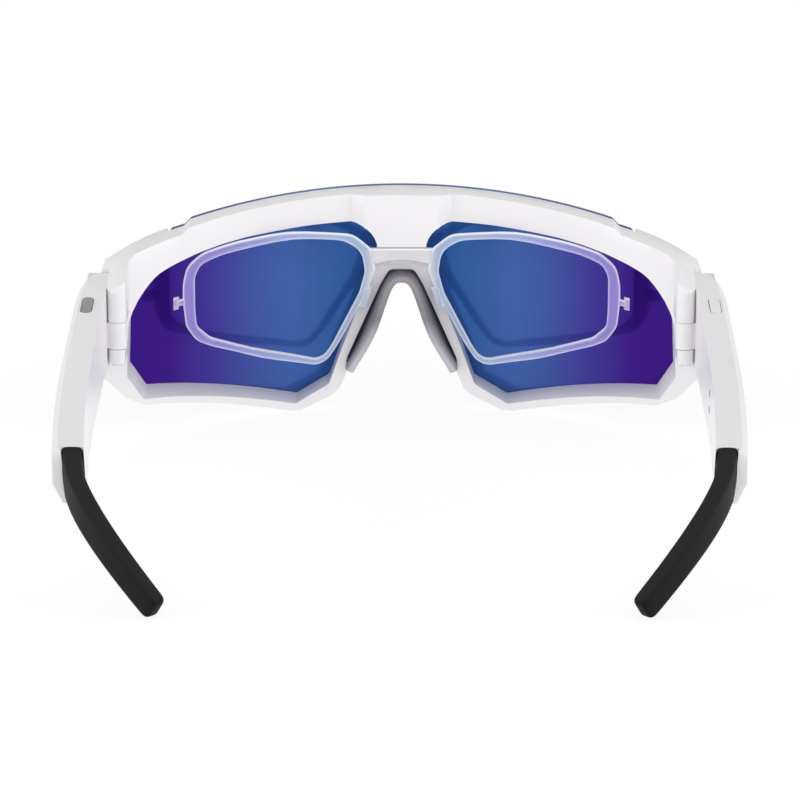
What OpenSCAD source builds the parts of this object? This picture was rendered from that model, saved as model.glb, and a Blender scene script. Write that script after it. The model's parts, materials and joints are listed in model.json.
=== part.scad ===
// Wrap-round smart sunglasses with a clip-in prescription rim.
// The wearer looks along +Y, +X is the wearer's right and +Z is up.
// The glasses stand on the lower corners of the front and on the two ear tips.
// Sizes in the modules count from the middle of the front's rear face, with the floor at Z = 0.

/* [Front] */
// Radius of the front's rear face, which follows the brow
rear_r = 84; // [80:1:90]
// Depth of the front from its rear face to the lens
frame_t = 6.3; // [5:0.1:7]
// Height of the brow's middle above the floor
brow_top = 53; // [52.4:0.1:53.6]
// Radius of the brow's top line, seen from behind
brow_r = 310; // [290:5:340]
// Slope of the brow's top towards the rear, in degrees
brow_tilt = 3; // [1:0.5:5]
// Slope of the facet at the outer end of the end pieces, in degrees
end_tilt = 16.7; // [14:0.1:19]
// Slope of the rims, the nose notch and the eye openings, in degrees
rim_tilt = 8; // [6:0.5:9]
// How far the middle of the brow stands out to the rear
plate_t = 2.8; // [2:0.2:3.4]
// Height of the lower edge of that middle plate
plate_z = 40.2; // [39.8:0.1:41]

/* [Shield lens] */
// Thickness of the lens
lens_t = 2; // [1.4:0.1:2.4]
// Gap between the lens and the front
lens_gap = 0.15; // [0.1:0.05:0.3]
// How far the lens stands above the brow
lens_proud = -0.1; // [-0.3:0.1:0.3]
// Gap between the end of the lens and the end piece
lens_end_gap = 0.3; // [0.2:0.1:0.6]

/* [Nose pad] */
// Wall of the soft pad
pad_wall = 2; // [1.6:0.1:2.2]
// How far the sides of the pad reach behind the front
pad_reach = 8; // [6:0.5:10]
// How far the top of the pad reaches behind the front
pad_top_reach = 4; // [3:0.5:5]
// How deep the pad sits in the nose notch
pad_seat = 4; // [3:0.5:5]
// Gap between the pad and the notch
pad_gap = 0.1; // [0.05:0.05:0.2]

/* [Prescription rim] */
// Radius that the clear rim follows
insert_r = 100; // [95:1:105]
// Thickness of the clear rim
insert_t = 1.6; // [1.2:0.1:1.8]
// Distance from the front's rear face to the middle of the clear rim
insert_back = 2.1; // [2:0.1:2.6]
// Height of the bridge plate of the clear rim
bridge_h = 4; // [3.4:0.2:4.2]
// Gap between the clips of the clear rim and the front
clip_gap = 0.15; // [0.1:0.05:0.3]

/* [Temples] */
// Distance from the middle to the inner face of a temple
temple_x = 68.1; // [67.7:0.1:69]
// Thickness of a temple
temple_w = 6.5; // [6.2:0.1:7.2]
// How far the front end of a temple reaches past the rear edge of the end piece
temple_start = 7.5; // [6.8:0.1:7.8]
// How far the hard temple reaches behind the speaker in it
temple_end = 14; // [13.5:0.5:18]
// Height of the temple's top at the hinge
temple_top = 38.7; // [38.2:0.1:39.2]
// Slope of the temple's top, in degrees
top_slope = 8; // [7.4:0.1:8.4]
// Height of the temple's lower edge at the hinge
temple_low = 20.3; // [20:0.1:21]
// Slope of the temple's lower edge, in degrees
low_slope = 4.4; // [3.6:0.1:4.8]
// How far the rear end of a temple bends inwards
bend_in = 2.1; // [1:0.1:2.4]
// Length of the rear stretch of a temple that bends inwards
bend_l = 48.5; // [40:0.5:50]
// Wall of the temple housing
temple_wall = 1.1; // [1:0.1:1.3]
// Thickness of the outer cover of a temple
cover_t = 1.3; // [1.2:0.1:1.5]
// Chamfer along the outer top and lower edge of a temple
edge_cut = 1.2; // [0.8:0.1:1.3]
// Seam between the cover and the housing
seam = 0.05; // [0.03:0.01:0.1]

/* [Hinges] */
// Distance from the hinge axis to the inner face of the temple
hinge_in = 2.6; // [2.5:0.05:2.8]
// Distance of the hinge axis behind the front end of the temple
hinge_back = 9.2; // [9:0.1:10]
// Radius of the hinge knuckles
knuckle_r = 2.2; // [2:0.05:2.3]
// Radius of the hinge pin
pin_r = 0.8; // [0.7:0.05:1]
// Clearance of the pin in the moving knuckle
pin_gap = 0.05; // [0.03:0.01:0.08]
// Gap between the hinge knuckles, and between the temple and the end piece
joint_gap = 0.3; // [0.25:0.05:0.4]

/* [Ear tips] */
// How far an ear tip reaches to the rear of the hard temple
tip_reach = 29.5; // [26:0.5:34]
// How far an ear tip curves inwards
tip_in = 17.4; // [14:0.2:20]
// Thickness of an ear tip at the temple
tip_w0 = 4.2; // [3.8:0.1:4.4]
// Thickness of an ear tip at its end
tip_w1 = 3.6; // [3:0.1:4.4]
// Height of an ear tip at the temple
tip_h0 = 10.4; // [9.6:0.1:11]
// Height of an ear tip at its end
tip_h1 = 6.4; // [5.6:0.1:8]
// Wall of the temple housing beside the inner face of an ear tip
tip_wall = 0.5; // [0.4:0.05:0.7]
// How far the top of an ear tip stands above the temple
tip_proud = 0.1; // [0:0.05:0.3]
// Length of the plug that holds an ear tip in the temple
plug_l = 6; // [4:0.5:7]
// Radius of the wire inside an ear tip
wire_r = 0.7; // [0.5:0.05:0.9]

/* [Buttons] */
// Length of a button
button_l = 8.6; // [7:0.2:9]
// Width of a button
button_w = 2.4; // [2:0.1:2.6]
// Distance of a button's middle behind the hinge axis
button_y = 10.3; // [9.7:0.1:13]
// Travel of a button
button_travel = 0.4; // [0.3:0.05:0.5]
// How far a button stands above the temple
button_proud = 0.25; // [0.1:0.05:0.4]
// Gap around a button
button_gap = 0.15; // [0.1:0.05:0.2]

/* [Electronics] */
// Thickness of the circuit board
board_t = 0.8; // [0.6:0.1:1]
// Length of the circuit board
board_l = 22; // [18:1:23]
// Distance of the circuit board's front end behind the hinge axis
board_back = 7; // [6.5:0.5:8]
// Gap between the circuit board and the battery
cell_gap = 2.5; // [1.5:0.5:3]
// Length of the battery
battery_l = 26; // [20:1:27]
// Thickness of the battery
battery_t = 3; // [2.4:0.1:3.2]
// Height of the battery
battery_h = 10; // [8:0.5:10.5]
// How far the flat cable beside the battery reaches past its ends
flex_lap = 3; // [2:0.5:4]
// Gap between the end of that cable and the speaker
speaker_gap = 0.5; // [0.3:0.1:1]
// Length of the speaker
speaker_l = 13; // [11:0.5:14]
// Thickness of the speaker
speaker_t = 2.8; // [2.4:0.1:3]
// Height of the speaker
speaker_h = 7; // [6:0.5:7.5]
// Distance of the microphone hole behind the middle of the speaker
mic_y = 6; // [3:0.5:7]
// Radius of the microphone hole
mic_r = 0.5; // [0.3:0.05:0.6]
// Radius of a charging contact
contact_r = 0.9; // [0.6:0.1:1.2]
// Distance of the charging contacts from the middle of the battery, to the rear
contact_y = 0.5; // [-4:0.5:4]
// Distance between the middles of the charging contacts
contact_gap = 3.8; // [3:0.2:5]

/* [Hidden] */

white = "#eeecee";
clear = "#c9d6f2";
lens_blue = "#4048a0";
pad_grey = "#a3a0a5";
rubber = "#2b292c";
steel = "#b9bcc2";
gold = "#c9a34e";
board_green = "#2f6b4a";

$fn = 48;
eps = 0.01;
far = 200;
flex_h = 1.8;
flex_down = 3;
flex_gap = 0.3;

front_r = rear_r + frame_t;
lens_r0 = front_r + lens_gap;
lens_r1 = lens_r0 + lens_t;
hinge_x = temple_x - hinge_in;
start_y = temple_start - rear_r + sqrt(rear_r * rear_r - temple_x * temple_x);
hinge_y = start_y - hinge_back;

// Middles of the pieces inside the temples, and the rear end of the hard temples
board_y = hinge_y - board_back - board_l / 2;
battery_y = board_y - board_l / 2 - cell_gap - battery_l / 2;
speaker_y = battery_y - battery_l / 2 - flex_lap - speaker_gap - speaker_l / 2;
end_y = speaker_y - speaker_l / 2 - temple_end;

// Heights of the lower and upper ends of the fixed hinge knuckles
knuckle_z = [21, 24.4, 30.9, 38.2];

function mix(a, b, t) = a + (b - a) * t;
function flattened(c, power) = sign(c) * pow(abs(c), power);
function unit(v) = v / norm(v);
function xy(p) = [p.x, p.y];

// Turns a list of corners [x, y, radius] into an outline with round corners
function arc_corner(a, b, c, r) =
    let (
        u = unit(a - b),
        w = unit(c - b),
        half = acos(u * w) / 2,
        o = b + unit(u + w) * r / sin(half),
        p = b + u * r / tan(half),
        q = b + w * r / tan(half),
        a0 = atan2(p.y - o.y, p.x - o.x),
        turn = (atan2(q.y - o.y, q.x - o.x) - a0 + 540) % 360 - 180,
        n = max(1, ceil(abs(turn) / 15))
    )
    [for (i = [0:n]) o + r * [cos(a0 + turn * i / n), sin(a0 + turn * i / n)]];
function rounded(c) =
    let (n = len(c))
    [for (i = [0:n - 1]) each c[i].z > 0
        ? arc_corner(xy(c[(i + n - 1) % n]), xy(c[i]), xy(c[(i + 1) % n]), c[i].z)
        : [xy(c[i])]];
function both_sides(half) = concat(
    half,
    [for (i = [len(half) - 1:-1:0]) [-half[i].x, half[i].y, half[i].z]]
);

// Right halves of the outlines, seen from behind along the slope of the rims
side_x = temple_x;
brow_end = side_x - 18.1;
notch = [[3, 33.8, 1.6], [5.2, 30, 3], [13.4, 12, 0.8]];
front_low = [
    [13.1, 9.4, 0.8], [15, 5, 1], [17.4, 3.2, 1.5], [25.2, 0.1, 0], [side_x - 7.9, 10.9, 3],
    [side_x - 3.5, 14.8, 4], [side_x + 1.3, 22.6, 3], [side_x + 7.9, 36, 0], [side_x + 7.9, 64, 0]
];
eye_opening = [
    [25.6, 2.2, 1.5], [17.6, 6.2, 2], [14.2, 15.4, 8], [7.4, 32.6, 8], [5.7, 38.3, 1],
    [5.85, 45.95, 6.4], [22, 45.6, 60], [40, 44.6, 60], [side_x - 17.6, 43, 40],
    [side_x - 10.7, 41, 8], [side_x - 6.5, 36.6, 14], [side_x - 4.5, 32.2, 10],
    [side_x - 4, 19.5, 1], [side_x - 7.5, 12.5, 1]
];
lens_low = [
    [3.8, 35.4, 2], [6.3, 30.8, 3], [14.4, 12.4, 3], [15.2, 6.8, 2], [18.6, 4, 2], [25.4, 1.5, 2],
    [side_x - 5.7, 9.5, 2.5], [side_x - 0.7, 23.5, 3], [side_x - 1.3, 36, 4],
    [side_x - 13.1, 45.8, 1], [side_x - 13.1, 60, 0]
];
insert_outer = [
    [5.6, 39.6, 0.6], [7.3, 39.8, 0.6], [11.6, 43.4, 6], [27, 45.2, 40], [40, 44.25, 30],
    [side_x - 21.1, 43.1, 6], [side_x - 17.5, 40.6, 4], [side_x - 16.5, 36.5, 10],
    [side_x - 16.5, 32, 20], [side_x - 17.1, 26.2, 5], [side_x - 19.5, 22.2, 6],
    [side_x - 23.1, 20.1, 10], [33, 15, 40], [18.9, 11.6, 4.5], [15, 17.2, 6], [8.2, 29.4, 8], [6.2, 34.6, 1]
];
insert_inner = [
    [8.8, 34.2, 4], [9.6, 39.4, 5], [14, 42.1, 8], [26, 43.4, 40], [side_x - 25.6, 41.8, 20],
    [side_x - 20.7, 40.4, 3], [side_x - 19.3, 37.6, 4], [side_x - 19.3, 29.5, 20],
    [side_x - 19.6, 25.6, 3], [side_x - 22.7, 22.3, 4], [36, 18, 60],
    [19.3, 13.2, 3.5], [16.6, 17.2, 5], [10.2, 29.2, 8]
];
clip_z = 36.2;
clip_w = 6;
clip_h = 2;
clip_depth = 1.6;

// Places on the temples, as distances behind the middle of the front's rear face
function top_z(y) = temple_top + (y - hinge_y) * tan(top_slope);
function low_z(y) = temple_low + (y - hinge_y) * tan(low_slope);
bend_y = end_y + bend_l;
function inward(y) = y > bend_y ? 0 : bend_in * pow((bend_y - y) / bend_l, 2);
outer_x = temple_x + temple_w;

// Stations along the temple's outer face: the front corner is drawn in, and the rear bends in
front_stations = [[start_y, 3.8], [start_y - 4.1, 1.6], [start_y - 12.7, 0.3], [start_y - 20.7, 0]];
rear_stations = [for (i = [0:6]) bend_y - i * bend_l / 6];

// Rear end of the ear tips
tip_y0 = end_y + 1.5;
tip_x0 = temple_x - bend_in + tip_wall + tip_w0 / 2;
tip_z0 = top_z(tip_y0) - tip_h0 / 2 + tip_proud;
tip_foot = tip_h1 / 2 * 0.86;
function tip_point(u) = [
    tip_x0 - tip_in * (0.12 * u + 0.88 * u * abs(u)),
    tip_y0 - (tip_reach + 1.5) * u,
    tip_z0 - (tip_z0 - tip_foot) * (0.2 * u + 0.8 * u * abs(u))
];
tip_steps = 14;
tip_stations = concat([for (i = [2:tip_steps]) i / tip_steps], [1.02, 1.035]);
function tip_scale(u) = u > 1.03 ? 0.55 : u > 1.01 ? 0.85 : 1;
function tip_ring(u, w, h, n = 16, power = 0.55) =
    let (
        p = tip_point(u),
        d = unit(tip_point(u + 0.01) - tip_point(u - 0.01)),
        s = unit(cross([0, 0, 1], d)),
        v = cross(d, s)
    )
    [for (i = [0:n - 1])
        let (a = 360 * i / n)
        p + s * w / 2 * flattened(cos(a), power) + v * h / 2 * flattened(sin(a), power)];
function plug_ring(y, w, h, power) =
    [for (i = [0:15])
        let (a = 22.5 * i)
        [tip_x0 + w / 2 * flattened(cos(a), power), y, tip_z0 + h / 2 * flattened(sin(a), power)]];
tip_rings = concat(
    [plug_ring(tip_y0, tip_w0, tip_h0, 0.55), plug_ring(end_y, tip_w0, tip_h0, 0.55)],
    [for (u = tip_stations)
        tip_ring(
            u,
            mix(tip_w0, tip_w1, u) * tip_scale(u),
            mix(tip_h0, tip_h1, u) * tip_scale(u)
        )]
);
plug_w = tip_w0 - 1.2;
plug_h = tip_h0 - 3.4;
tip_rear = min([for (ring = tip_rings) for (p = ring) p.y]);

// Carries the whole model so that the middle of its box lies on the origin
y_shift = -(tip_rear + lens_r1 - rear_r) / 2;

// Faces of a tube through rings of points, closed by flat caps
module loft(rings) {
    n = len(rings[0]);
    m = len(rings);
    points = [for (ring = rings) for (p = ring) p];
    sides = [for (j = [0:m - 2]) for (i = [0:n - 1]) each
        let (a = j * n + i, b = j * n + (i + 1) % n)
        [[a, a + n, b], [b, a + n, b + n]]];
    caps = [[for (i = [0:n - 1]) i], [for (i = [n - 1:-1:0]) (m - 1) * n + i]];
    polyhedron(points, concat(sides, caps), convexity = 6);
}

// Turns the sheet of an outline to face the rear and draws it out along the given slope
module along(tilt, length = far) {
    rotate([90 + tilt, 0, 0])
        linear_extrude(length, center = true)
            children();
}

// Shell between two upright cylinders about the middle of the front's curve
module band(r0, r1) {
    translate([0, -rear_r, -20])
        difference() {
            cylinder(r = r1, h = 100, $fn = 180);
            translate([0, 0, -1])
                cylinder(r = r0, h = 102, $fn = 180);
            translate([-far, -far, -1])
                cube([2 * far, far + 20, 102]);
        }
}

module on_side(side) {
    translate([0, y_shift, 0])
        mirror([side < 0 ? 1 : 0, 0, 0])
            children();
}

module in_middle() {
    translate([0, y_shift, 0])
        children();
}

// Space below the top line, with the steps at the ends of the brow and the facets beyond them
function brow_line(x) = brow_top - x * x / (2 * brow_r);
top_line = concat(
    [for (i = [0:10]) [brow_end * i / 10, brow_line(brow_end * i / 10), 0]],
    [[side_x - 16.6, 47.6, 0], [side_x - 12.3, 47, 0], [side_x - 8.1, 46.2, 0],
        [side_x - 4.7, 45.3, 0], [side_x - 2.1, 44.4, 0], [side_x + 1.1, 43.2, 0],
        [side_x + 2.1, 40.5, 0], [side_x + 2.1, -20, 0]]
);
end_facet = [[side_x - 20.1, 56.3, 0], [side_x + 3.9, 45.75, 0], [side_x + 3.9, -20, 0]];
module top_space(extra = 0) {
    intersection() {
        along(brow_tilt)
            translate([0, extra])
                polygon([for (p = both_sides(top_line)) xy(p)]);
        along(end_tilt)
            polygon([for (p = both_sides(end_facet)) xy(p)]);
    }
}

// Space taken by the front end of the temple at rest, with its gap
module temple_pocket() {
    translate([temple_x - joint_gap, -far, low_z(hinge_y - 4) - joint_gap])
        cube([far, far + start_y + joint_gap, far]);
}

module front_frame() {
    color(white)
        in_middle()
            difference() {
                union() {
                    intersection() {
                        union() {
                            band(rear_r, front_r);
                            middle_plate();
                        }
                        along(rim_tilt)
                            polygon(rounded(both_sides(concat(notch, front_low))));
                        top_space();
                    }
                    end_skins();
                    for (side = [-1, 1])
                        mirror([side < 0 ? 1 : 0, 0, 0])
                            hinge_ears();
                }
                for (side = [-1, 1])
                    mirror([side < 0 ? 1 : 0, 0, 0]) {
                        along(rim_tilt)
                            polygon(rounded(eye_opening));
                        temple_pocket();
                    }
                translate([0, 0, -far / 2])
                    cube([far, far, far], center = true);
                flex_channel();
                clip_pocket();
            }
}

// Raised plate in the middle of the brow, on its rear
module middle_plate() {
    translate([0, 0, plate_z])
        linear_extrude(far)
            polygon([
                [-13, 1], [-12.4, -0.6], [-8.8, -plate_t], [8.8, -plate_t], [12.4, -0.6], [13, 1]
            ]);
}

// Outer skin of the end pieces, level with the lens and a gap away from its end
module end_skins() {
    g = lens_end_gap;
    corner = [[side_x - 13.1 + g, 62, 0], [side_x - 13.1 + g, 45.8 + g, 1],
        [side_x - 1.3 + g, 36 + g, 4], [side_x - 0.7 + g, 23.5, 0], [side_x + 7.9, 23.5, 0],
        [side_x + 7.9, 62, 0]];
    for (side = [-1, 1])
        mirror([side < 0 ? 1 : 0, 0, 0])
            intersection() {
                band(front_r - 0.5, lens_r1);
                along(rim_tilt)
                    polygon(rounded(corner));
                along(rim_tilt)
                    polygon(rounded(both_sides(concat(notch, front_low))));
                top_space();
            }
}

// Fixed knuckles; the upper one runs up into the end piece and closes the bore of the pin
module hinge_ears() {
    difference() {
        intersection() {
            for (z = [[knuckle_z[0], knuckle_z[1]], [knuckle_z[2], far]])
                translate([hinge_x, hinge_y, z[0]]) {
                    cylinder(r = knuckle_r, h = z[1] - z[0]);
                    translate([-knuckle_r, 0, 0])
                        cube([knuckle_r + hinge_in - joint_gap, hinge_back, z[1] - z[0]]);
                }
            top_space();
        }
        translate([hinge_x, hinge_y, 0])
            cylinder(r = pin_r + 0.02, h = knuckle_z[3]);
    }
}

// Strip that runs below the brow's top line
module brow_strip(gap) {
    end = brow_end - 1 + gap;
    top = [for (x = concat(-end, [for (i = [-9:9]) brow_end * i / 10], end))
        [x, brow_line(x) - flex_down]];
    along(brow_tilt)
        polygon(concat(
            [for (p = top) p + [0, gap]],
            [for (i = [len(top) - 1:-1:0]) top[i] - [0, flex_h + gap]]
        ));
}

// Groove behind the lens for the flat cable between the temples
module flex_channel() {
    intersection() {
        band(front_r - 0.8, front_r + 1);
        brow_strip(flex_gap);
    }
}

module clip_pocket() {
    translate([-clip_w / 2 - clip_gap, -plate_t - 1, clip_z - clip_gap])
        cube([clip_w + 2 * clip_gap, plate_t + 1 + clip_depth + clip_gap, clip_h + 2 * clip_gap]);
}

module shield_lens() {
    color(lens_blue)
        in_middle()
            intersection() {
                band(lens_r0, lens_r1);
                along(rim_tilt)
                    polygon(rounded(both_sides(lens_low)));
                top_space(lens_proud);
            }
}

// One cross-section of the pad: 0 is the outline in the notch, 1 the rear edge
notch_lean = (notch[2].x - notch[1].x) / (notch[1].y - notch[2].y);
pad_front = concat(
    [[0, 33.8 - pad_gap], [1.6, 33.8 - pad_gap], [2.7, 33.3], [3.7, 32.2]],
    [for (v = [30.6, 28.3, 25.3, 22.3, 19.3, 16.2, 13.6])
        [notch[1].x + (notch[1].y - v) * notch_lean - pad_gap - 0.05, v]],
    [[12.85, 11.5], [12.8, 10.7]]
);
pad_rear = [[0, 33.7], [1.5, 33.6], [3.1, 32.7], [4.3, 30.9], [5.1, 29], [5.8, 27],
    [6.7, 24.2], [7.7, 21.2], [9.1, 18.2], [10.6, 15.4], [12, 13], [13.1, 11], [13.6, 9.7]];
pad_depth = [0, 0.02, 0.1, 0.3, 0.55, 0.8, 0.95, 1, 1, 1, 0.95, 0.9, 0.75];
function pad_outer(t) = [for (i = [0:len(pad_front) - 1]) mix(pad_front[i], pad_rear[i], t)];
function pad_inner(t) =
    let (o = pad_rear, n = len(o))
    [for (i = [0:n - 1])
        let (
            a = o[max(i - 1, 0)],
            b = o[min(i + 1, n - 1)],
            d = unit(b - a)
        )
        i == 0 ? o[0] - [0, pad_wall] : o[i] + pad_wall * [d.y, -d.x]];
function tilted(p, y) = [
    p.x,
    y * cos(rim_tilt) - p.y * sin(rim_tilt),
    y * sin(rim_tilt) + p.y * cos(rim_tilt)
];
function pad_ring(y, t) =
    let (
        o = pad_outer(t),
        i = pad_inner(t),
        n = len(o),
        order = concat([for (k = [n - 1:-1:1]) [k, -1]], [for (k = [0:n - 1]) [k, 1]]),
        base = 33 * sin(rim_tilt),
        depth = [for (q = order)
            base + (y < 0 ? y * mix(pad_top_reach, pad_reach, pad_depth[q[0]]) : y)]
    )
    concat(
        [for (j = [0:len(order) - 1])
            tilted([order[j][1] * o[order[j][0]].x, o[order[j][0]].y], depth[j])],
        [for (j = [len(order) - 1:-1:0])
            tilted([order[j][1] * i[order[j][0]].x, i[order[j][0]].y], depth[j])]
    );

module nose_pad() {
    rings = [pad_ring(pad_seat, 0), pad_ring(0, 0), pad_ring(-1 / 3, 0.1), pad_ring(-2 / 3, 0.45),
        pad_ring(-1, 1)];
    n = len(rings[0]);
    m = len(rings);
    points = [for (ring = rings) for (p = ring) p];
    sides = [for (j = [0:m - 2]) for (i = [0:n - 1]) each
        let (a = j * n + i, b = j * n + (i + 1) % n)
        [[a, b, a + n], [b, b + n, a + n]]];
    front_cap = [for (i = [0:n / 2 - 2]) each
        [[i, n - 1 - i, i + 1], [i + 1, n - 1 - i, n - 2 - i]]];
    rear_cap = [for (f = front_cap) [for (k = [2:-1:0]) f[k] + (m - 1) * n]];
    color(pad_grey)
        in_middle()
            polyhedron(points, concat(sides, front_cap, rear_cap), convexity = 6);
}

module insert_band() {
    translate([0, rear_r - insert_r - insert_back, 0])
        translate([0, -rear_r, -20])
            difference() {
                cylinder(r = insert_r + insert_t / 2, h = 100, $fn = 180);
                translate([0, 0, -1])
                    cylinder(r = insert_r - insert_t / 2, h = 102, $fn = 180);
                translate([-far, -far, -1])
                    cube([2 * far, far + 20, 102]);
            }
}

module prescription_rim() {
    bridge_top = plate_z - 0.4;
    bridge_low = bridge_top - bridge_h;
    arch = 1.2;
    color(clear, 0.5)
        in_middle() {
            intersection() {
                insert_band();
                along(rim_tilt)
                    difference() {
                        union() {
                            for (side = [0, 1])
                                mirror([side, 0]) {
                                    polygon(rounded(insert_outer));
                                    translate([side_x - 17.1, 31.6])
                                        square([2, 1.3]);
                                    translate([side_x - 15.6, 30.9])
                                        square([1.2, 2.7]);
                                }
                            polygon(concat(
                                [[8, bridge_top], [-8, bridge_top]],
                                [for (x = [-8:2:8]) [x, bridge_low + arch * (1 - x * x / 64)]]
                            ));
                        }
                        for (side = [0, 1])
                            mirror([side, 0])
                                polygon(rounded(insert_inner));
                    }
            }
            translate([-clip_w / 2, -insert_back, clip_z])
                cube([clip_w, insert_back + clip_depth, clip_h]);
            for (side = [-1, 1])
                translate([side * 9 - 1.6, -insert_back - 0.6, 25.4])
                    cube([3.2, insert_back - 0.2, 4.4]);
        }
}

module brow_flex() {
    color("#c98a3c")
        in_middle()
            intersection() {
                band(front_r - 0.6, front_r - 0.3);
                brow_strip(0);
            }
}

// Outline of a temple from above; the cover takes the strip along the outer face
function outer_line(d) = concat(
    [for (s = front_stations) [outer_x - s.y - d, s.x]],
    [for (y = rear_stations) [outer_x - inward(y) - d, y]]
);
function inner_line(d) = concat(
    [for (i = [len(rear_stations) - 1:-1:0])
        [temple_x - inward(rear_stations[i]) + d, rear_stations[i]]],
    [[temple_x + d, start_y]]
);

module temple_profile(inset, y0, y1) {
    rotate([90, 0, 90])
        linear_extrude(far)
            polygon([
                [y0, top_z(y0) - inset],
                [y1, top_z(y1) - inset],
                [y1, low_z(y1) + inset],
                [y0, low_z(y0) + inset]
            ]);
}

module temple_form() {
    intersection() {
        linear_extrude(far)
            polygon(concat(outer_line(0), inner_line(0)));
        temple_profile(0, start_y, end_y);
        edge_section();
    }
}

// Keeps what lies under the chamfers along the outer top and lower edges
module edge_section() {
    difference() {
        translate([0, -far, 0])
            cube([far, 2 * far, far]);
        edge_cutter(temple_top, top_slope, 1);
        edge_cutter(temple_low, low_slope, -1);
    }
}

module edge_cutter(z, slope, up) {
    turn_y = bend_y - 8;
    turn = atan((bend_in - inward(turn_y)) / (turn_y - end_y));
    for (part = [[start_y + 2, 0], [turn_y, turn]])
        let (in = inward(part.x), length = part.x > turn_y ? part.x - turn_y : far)
        translate([outer_x - in - edge_cut / 2, part.x, z + (part.x - hinge_y) * tan(slope)
            - up * edge_cut / 2])
            rotate([slope, 0, -part.y])
                rotate([0, 90 - up * 45, 0])
                    translate([-10, -length / cos(slope), 0])
                        cube([20, length / cos(slope), 10]);
}

module cavity() {
    intersection() {
        linear_extrude(far)
            polygon(concat(outer_line(cover_t - 1), inner_line(temple_wall)));
        temple_profile(temple_wall, hinge_y - 4.5, end_y + plug_l + 4.5);
    }
}

module temple_housing(side) {
    color(white)
        on_side(side)
            difference() {
                temple_form();
                linear_extrude(far)
                    polygon(concat(
                        [[far, start_y + 1]],
                        [[outer_x - front_stations[0].y - cover_t, start_y + 1]],
                        outer_line(cover_t),
                        [[outer_x - bend_in - cover_t, -far]], [[far, -far]]
                    ));
                cavity();
                leaf_pocket(0.1);
                leaf_screw_holes();
                button_slot();
                on_microphone()
                    translate([0, 0, -3])
                        cylinder(r = mic_r, h = 6);
                grille_slot(0.1);
                tip_socket();
                if (side > 0)
                    contact_shapes(seam, -1, temple_wall + 1);
            }
}

module temple_cover(side) {
    color(white)
        on_side(side)
            intersection() {
                temple_form();
                linear_extrude(far)
                    polygon(concat(
                        [[far, start_y + 1]],
                        [[outer_x - front_stations[0].y - cover_t + seam, start_y + 1]],
                        outer_line(cover_t - seam),
                        [[outer_x - bend_in - cover_t + seam, -far]], [[far, -far]]
                    ));
            }
}

// Leaf with the moving knuckle
module leaf_plate(gap) {
    translate([temple_x + 2 - gap, hinge_y - 3.5 - gap, 23.5 - gap])
        cube([1 + 2 * gap, 9 + 2 * gap, 9 + 2 * gap]);
}

module leaf_neck(gap) {
    z0 = knuckle_z[1] + joint_gap;
    translate([hinge_x, hinge_y - 1.2 - gap, z0 - gap])
        cube([temple_x + 2.5 - hinge_x, 2.4 + 2 * gap, knuckle_z[2] - joint_gap - z0 + 2 * gap]);
}

module leaf_pocket(gap) {
    leaf_plate(gap);
    leaf_neck(gap);
    translate([temple_x + 2, hinge_y - 3.5 - gap, 23.5 - gap])
        cube([far, 9 + 2 * gap, 9 + 2 * gap]);
}

module leaf_screw_holes() {
    for (z = [25, 31])
        translate([temple_x + 0.7, hinge_y + 3.6, z])
            rotate([0, 90, 0])
                cylinder(r = 0.62, h = 3);
}

module hinge_leaf(side) {
    z0 = knuckle_z[1] + joint_gap;
    color(white)
        on_side(side)
            difference() {
                union() {
                    leaf_plate(0);
                    leaf_neck(0);
                    translate([hinge_x, hinge_y, z0])
                        cylinder(r = knuckle_r, h = knuckle_z[2] - joint_gap - z0);
                }
                translate([hinge_x, hinge_y, z0 - 1])
                    cylinder(r = pin_r + pin_gap, h = 20);
                leaf_screw_holes();
            }
}

// Pin from below, with its slotted head under the lower knuckle
module hinge_pin(side) {
    head_h = 0.5;
    color(steel)
        on_side(side)
            translate([hinge_x, hinge_y, knuckle_z[0] - head_h]) {
                cylinder(r = pin_r, h = knuckle_z[3] - 0.1 - knuckle_z[0] + head_h);
                difference() {
                    cylinder(r = 1.5, h = head_h);
                    translate([-0.2, -2, -1])
                        cube([0.4, 4, 1.25]);
                }
            }
}

module leaf_screws(side) {
    color(steel)
        on_side(side)
            for (z = [25, 31])
                translate([temple_x + 0.9, hinge_y + 3.6, z])
                    rotate([0, 90, 0]) {
                        cylinder(r = 0.6, h = 2.12);
                        translate([0, 0, 2.12])
                            cylinder(r = 1.1, h = 0.5);
                    }
}

// Upright pill shape, in the slope of the temple's top
module on_top(y) {
    translate([temple_x + temple_w / 2 + 0.1, y, top_z(y)])
        rotate([top_slope, 0, 0])
            children();
}

module pill(w, l, h) {
    for (end = [-1, 1])
        translate([0, end * (l - w) / 2, 0])
            cylinder(d = w, h = h);
    translate([-w / 2, -(l - w) / 2, 0])
        cube([w, l - w, h]);
}

module button_slot() {
    on_top(hinge_y - button_y)
        translate([0, 0, -3])
            pill(button_w + 2 * button_gap, button_l + 2 * button_gap, 6);
}

module button(side) {
    color(side < 0 ? "#8f8a90" : white)
        on_side(side)
            on_top(hinge_y - button_y) {
                translate([0, 0, -temple_wall - 0.5])
                    pill(button_w, button_l, temple_wall + 0.5 + button_proud);
                translate([0, 0, -temple_wall - 0.9])
                    pill(button_w, button_l + 1.2, 0.8);
            }
}

module button_switch(side) {
    color("#3a3a40")
        on_side(side)
            on_top(hinge_y - button_y) {
                translate([-1.3, -1.8, -temple_wall - 3.6])
                    cube([2.6, 3.6, 1.6]);
                translate([0, 0, -temple_wall - 2.1])
                    cylinder(r = 0.7, h = 2.1 - 0.9 - button_travel - 0.1);
            }
}

// Tilted place inside the temple, halfway between its top and lower edge
module inside(y) {
    translate([temple_x + temple_wall, y, (top_z(y) + low_z(y)) / 2])
        rotate([(top_slope + low_slope) / 2, 0, 0])
            children();
}

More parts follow.
